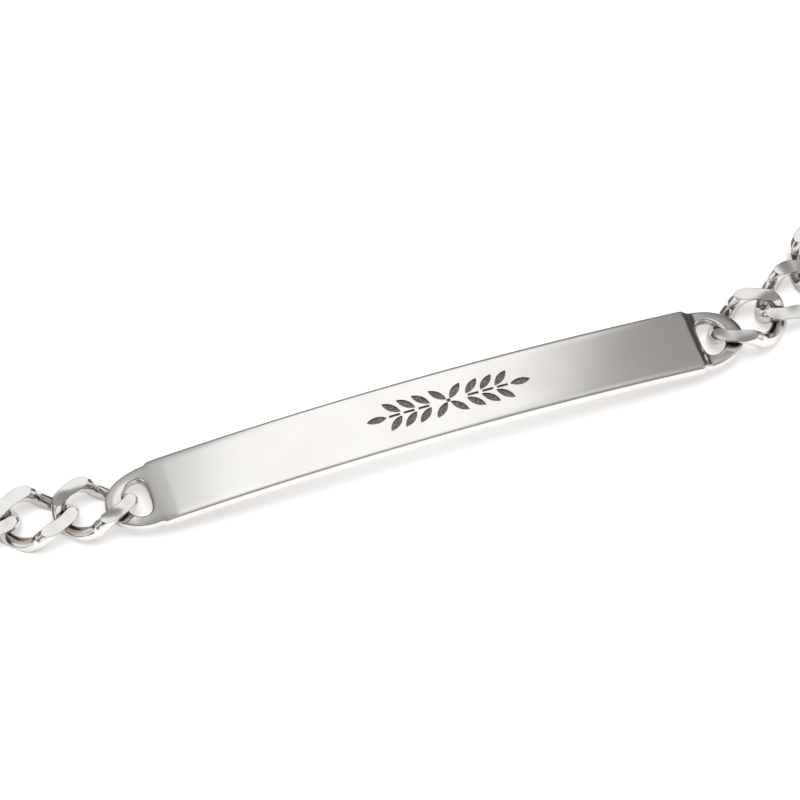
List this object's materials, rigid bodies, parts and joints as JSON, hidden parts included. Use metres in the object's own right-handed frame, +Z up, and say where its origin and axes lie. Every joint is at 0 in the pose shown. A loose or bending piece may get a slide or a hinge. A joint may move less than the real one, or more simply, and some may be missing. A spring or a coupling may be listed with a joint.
{
  "type": "identity bracelet",
  "caption": "Closed silver curb-chain bracelet with an arched engraved name plate and one clasp, laid flat as a loop; worn round a wrist.",
  "frame": {"origin": "middle of the closed loop's footprint, on the surface that it lies on", "axes": "+X along the name plate, +Y from the plate towards the back of the loop, +Z up"},
  "size_m": [0.0762, 0.0494, 0.0027],
  "materials": {
    "silver": "polished",
    "clasp_silver": "polished"
  },
  "bodies": {
    "root": {"plate": "silver", "link_r01": "silver", "link_r02": "silver", "link_r03": "silver", "link_r04": "silver", "link_r05": "silver", "link_r06": "silver", "link_r07": "silver", "link_r08": "silver", "link_r09": "silver", "link_r10": "silver", "link_r11": "silver", "link_r12": "silver", "link_r13": "silver", "link_r14": "silver", "link_r15": "silver", "link_r16": "silver", "link_r17": "silver", "link_r18": "silver", "link_r19": "silver", "link_l01": "silver", "link_l02": "silver", "link_l03": "silver", "link_l04": "silver", "link_l05": "silver", "link_l06": "silver", "link_l07": "silver", "link_l08": "silver", "link_l09": "silver", "link_l10": "silver", "link_l11": "silver", "link_l12": "silver", "link_l13": "silver", "link_l14": "silver", "link_l15": "silver", "link_l16": "silver", "link_l17": "silver", "link_l18": "silver", "clasp": "clasp_silver"}
  },
  "joints": []
}
